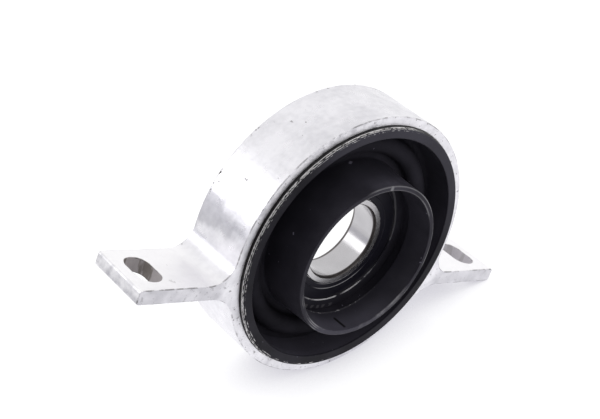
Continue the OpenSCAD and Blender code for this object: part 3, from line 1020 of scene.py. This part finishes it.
def seal_finish(colours, bearing):
    """Satin rubber of the seals: moulding lines round the shaft, and painted glints on the bead and near the
    lip at the bottom right.
    """
    black = Finish("seal_rubber", Specular_IOR_Level=0.25, Specular_Tint=RUBBER_SHEEN)
    black.find_shaft()
    step = INNER_HIGH.x - bearing.step_in
    line = black.ring(step + bearing.bead_offset, -0.12, 0.12, 0.12)
    rubbed = black.ring(step + bearing.lip_gap, 0.3, 0.5, 0.12)
    # Painted glints: light lines on the bead and near the lip at the bottom right
    pale = 0.5 * (line | 0.7 * rubbed) * black.sector(-128.0, -90.0, 22.0)
    tint = black.blend(black.uneven(120.0, 0.0, 0.012), colours.seal, colours.dust)
    tint = black.blend(pale, tint, colours.worn_rubber)
    black.dress(Base_Color=tint, Roughness=black.uneven(180.0, 0.34, 0.48))
    rings = black.noise(900.0, detail=2.0, at=black.join(X=black.radius, Y=black.along))
    black.bump(rings, strength=0.08, distance=0.1)
    return black.material


def plain_steel_finish(name, tint, scale, low, high):
    """Steel of the hidden cage and balls, with smears at a scale and a roughness between low and high."""
    steel = Finish(name, Metallic=1.0)
    darker = tuple(0.7 * part for part in tint)
    steel.dress(Base_Color=steel.blend(steel.uneven(scale, 0.0, 0.4), tint, darker),
                Roughness=steel.uneven(2 * scale, low, high))
    steel.bump(steel.noise(8 * scale, detail=2.0), strength=0.05, distance=0.05)
    return steel.material


# Stage


def floor_frame(bracket):
    """Rotation of the floor that the part lies on, by its ring and the rounded tip of its right ear."""
    tip = (bracket.ear_tip - bracket.tip_round, bracket.ear_top - bracket.ear_thickness + bracket.tip_round)
    drop = math.atan2(-tip[1], tip[0])
    tilt = math.asin((bracket.ring_radius - bracket.tip_round) / math.hypot(*tip)) - drop
    return Matrix.Rotation(-tilt, 3, "Y")


def add_camera(stage, floor):
    """Sets the camera at the photograph's viewing angle, over the floor and to the left of the shaft."""
    camera = bpy.data.cameras.new("camera")
    camera.lens = stage.focal_length
    camera.sensor_width = SENSOR_WIDTH
    camera.clip_start = NEAR_CLIP
    turn = Matrix.Rotation(-stage.view_turn, 3, "Z")
    rise = Matrix.Rotation(math.pi / 2 - stage.view_rise, 3, "X")
    roll = Matrix.Rotation(stage.view_roll, 3, "Z")
    axes = floor @ turn @ rise @ roll
    place = Vector(stage.aim) + axes @ Vector((0.0, 0.0, stage.view_distance))
    viewer = add_object("camera", camera)
    viewer.matrix_world = Matrix.Translation(place) @ axes.to_4x4()
    bpy.context.scene.camera = viewer


def floor_finish(colours, stage):
    """Glowing pale floor with a painted contact shadow near what stands on it; clear from below and out at
    its edge.
    """
    floor = Finish("pale_floor", Base_Color=opaque(FLOOR_SHADE), Roughness=0.8, Specular_IOR_Level=0.0,
                   Emission_Strength=FLOOR_GLOW)
    open_sky = floor.value("AO", "ShaderNodeAmbientOcclusion", Distance=CONTACT_REACH,
                           options={"samples": 8})
    glow = floor.blend(floor.step(open_sky, 0.0, 0.85), CONTACT_SHADE, colours.floor)
    floor.dress(Emission_Color=glow)
    away = floor.value("Value", "ShaderNodeVectorMath", floor.here, options={"operation": "LENGTH"})
    fade = floor.step(away, 0.45 * stage.floor_radius, 0.95 * stage.floor_radius)
    clear = fade | floor.value("Backfacing", "ShaderNodeNewGeometry")
    see_through = floor.value("BSDF", "ShaderNodeBsdfTransparent")
    mixed = floor.value("Shader", "ShaderNodeMixShader", clear, floor.surface, see_through)
    floor.fill(floor.output.inputs["Surface"], mixed)
    return floor.material


def add_floor(colours, stage, bracket, floor):
    """Lays the floor under the part."""
    bm = bmesh.new()
    lie = Matrix.Translation(floor @ Vector((0.0, 0.0, -bracket.ring_radius))) @ floor.to_4x4()
    bmesh.ops.create_circle(bm, cap_ends=True, radius=stage.floor_radius, segments=FLOOR_STEPS, matrix=lie)
    mesh = bpy.data.meshes.new("floor")
    bm.to_mesh(mesh)
    bm.free()
    mesh.materials.append(floor_finish(colours, stage))
    ground = add_object("floor", mesh)


def white_surroundings(stage, floor):
    """White dome with a dim gap over the floor at the back left and a dim room behind the camera."""
    world = bpy.data.worlds.new("white_studio")
    bpy.context.scene.world = world
    world.use_nodes = True
    sky = Shading(world.node_tree)
    toward = sky.value("Generated", "ShaderNodeTexCoord")
    height, left, behind = [
        sky.value("Value", "ShaderNodeVectorMath", toward, floor @ Vector(direction),
                  options={"operation": "DOT_PRODUCT"})
        for direction in (UPWARD, BACK_LEFT, BEHIND_CAMERA)
    ]
    gap = sky.band(height, 0.02, 0.22, 0.08) * sky.step(left, 0.2, 0.6)
    room = sky.step(behind, 0.42, 0.82) * sky.step(height, 0.85, 0.55)
    lit = sky.blend(room, sky.blend(gap, WHITE, GAP_SHADE), ROOM_SHADE)
    light = sky.value("Background", "ShaderNodeBackground", Color=lit, Strength=stage.dome)
    seen = sky.value("Background", "ShaderNodeBackground", Color=opaque(WHITE), Strength=SEEN_GLOW)
    camera_ray = sky.value("Is Camera Ray", "ShaderNodeLightPath")
    mixed = sky.value("Shader", "ShaderNodeMixShader", camera_ray, light, seen)
    sky.node("ShaderNodeOutputWorld", Surface=mixed)


def add_soft_box(power, floor):
    """Hangs a rectangular light that faces the part from the back left."""
    lamp = bpy.data.lights.new("key_soft_box", "AREA")
    lamp.shape = "RECTANGLE"
    lamp.size, lamp.size_y = SOFT_BOX_SIZE
    lamp.energy = power
    direction = (floor @ Vector(SOFT_BOX_FROM)).normalized()
    facing = direction.to_track_quat("Z", "Y").to_matrix().to_4x4()
    holder = add_object("key_soft_box", lamp)
    holder.matrix_world = Matrix.Translation(direction * SOFT_BOX_AWAY) @ facing
    holder.visible_camera = False


# Operators


class CENTRE_BEARING_OT_bracket(bpy.types.Operator):
    """Build the extruded bracket with its ring, ears and bolt slots"""

    bl_idname = "centre_bearing.bracket"
    bl_label = "Bracket"

    def execute(self, context):
        settings = context.scene.centre_bearing
        finish = aluminium_finish(settings.finishes, settings.bracket)
        add_piece("extruded_bracket", bracket_mesh(settings.bracket), finish, "mount", "bracket_aluminium",
                  "housing")
        return {"FINISHED"}


class CENTRE_BEARING_OT_sleeve(bpy.types.Operator):
    """Build the coated steel sleeve in the bracket's ring"""

    bl_idname = "centre_bearing.sleeve"
    bl_label = "Sleeve"

    def execute(self, context):
        settings = context.scene.centre_bearing
        finish = coated_steel_finish(settings.finishes)
        add_piece("pressed_sleeve", turned(sleeve_outline(settings.rubber)), finish, "mount", "sleeve_steel",
                  "outer_sleeve")
        return {"FINISHED"}


class CENTRE_BEARING_OT_rubber(bpy.types.Operator):
    """Build the folded rubber mount with its hub and collar"""

    bl_idname = "centre_bearing.rubber"
    bl_label = "Rubber mount"

    def execute(self, context):
        settings = context.scene.centre_bearing
        finish = rubber_finish(settings.finishes, settings.rubber)
        add_piece("folded_rubber", turned(rubber_outline(settings.rubber)), finish, "mount", "mount_rubber",
                  "rubber_mount")
        return {"FINISHED"}


class CENTRE_BEARING_OT_races(bpy.types.Operator):
    """Build the ground inner and outer races"""

    bl_idname = "centre_bearing.races"
    bl_label = "Races"

    def execute(self, context):
        settings = context.scene.centre_bearing
        finish = race_finish(settings.finishes, settings.bearing)
        add_piece("polished_inner_race", turned(inner_race_outline(settings.bearing)), finish, "inner_race",
                  "race_steel", "inner_race")
        add_piece("ground_outer_race", turned(outer_race_outline(settings.bearing)), finish, "mount",
                  "race_steel", "outer_race")
        return {"FINISHED"}


class CENTRE_BEARING_OT_seals(bpy.types.Operator):
    """Build the two rubber seals with their beads"""

    bl_idname = "centre_bearing.seals"
    bl_label = "Seals"

    def execute(self, context):
        settings = context.scene.centre_bearing
        finish = seal_finish(settings.finishes, settings.bearing)
        for name, side in (("front_seal", -1), ("rear_seal", 1)):
            add_piece(name + "_disc", turned(seal_outline(settings.bearing, side)), finish, "mount",
                      "seal_rubber", name)
        return {"FINISHED"}


class CENTRE_BEARING_OT_rolling_set(bpy.types.Operator):
    """Finish the balls and the riveted cage that lie between the races"""

    bl_idname = "centre_bearing.rolling_set"
    bl_label = "Balls and cage"

    def execute(self, context):
        colours = context.scene.centre_bearing.finishes
        dress_nodes(CAGE_NODES, plain_steel_finish("cage_strip", colours.cage_steel, 260.0, 0.28, 0.42))
        dress_nodes(BALL_NODES, plain_steel_finish("ball_polish", colours.ball_steel, 180.0, 0.05, 0.09))
        return {"FINISHED"}


class CENTRE_BEARING_OT_stage(bpy.types.Operator):
    """Set the camera, the pale floor, the white surroundings and the soft box"""

    bl_idname = "centre_bearing.stage"
    bl_label = "Stage"

    def execute(self, context):
        settings = context.scene.centre_bearing
        stage = settings.stage
        floor = floor_frame(settings.bracket)
        add_camera(stage, floor)
        add_floor(settings.finishes, stage, settings.bracket, floor)
        white_surroundings(stage, floor)
        add_soft_box(stage.key_power, floor)
        context.scene.view_settings.view_transform = "Standard"
        return {"FINISHED"}


PIECE_OPERATORS = (
    CENTRE_BEARING_OT_bracket,
    CENTRE_BEARING_OT_sleeve,
    CENTRE_BEARING_OT_rubber,
    CENTRE_BEARING_OT_races,
    CENTRE_BEARING_OT_seals,
    CENTRE_BEARING_OT_rolling_set,
    CENTRE_BEARING_OT_stage,
)


class CENTRE_BEARING_PT_panel(bpy.types.Panel):
    """Lists the operators that build the centre bearing"""

    bl_idname = "CENTRE_BEARING_PT_panel"
    bl_label = "Centre Bearing"
    bl_space_type = "VIEW_3D"
    bl_region_type = "UI"
    bl_category = "Centre Bearing"

    def draw(self, context):
        column = self.layout.column(align=True)
        for operator in PIECE_OPERATORS:
            column.operator(operator.bl_idname)


CLASSES = (
    BracketSizes,
    RubberSizes,
    BearingSizes,
    Finishes,
    StageSettings,
    CentreBearingSettings,
    *PIECE_OPERATORS,
    CENTRE_BEARING_PT_panel,
)


def register():
    """Registers the classes and the scene's settings."""
    for item in CLASSES:
        bpy.utils.register_class(item)
    bpy.types.Scene.centre_bearing = PointerProperty(type=CentreBearingSettings)


def unregister():
    """Removes the scene's settings and the classes."""
    del bpy.types.Scene.centre_bearing
    for item in reversed(CLASSES):
        bpy.utils.unregister_class(item)


def main():
    """Builds every piece and the stage in order."""
    register()
    for operator in PIECE_OPERATORS:
        group, name = operator.bl_idname.split(".")
        getattr(getattr(bpy.ops, group), name)()


if __name__ == "__main__":
    main()
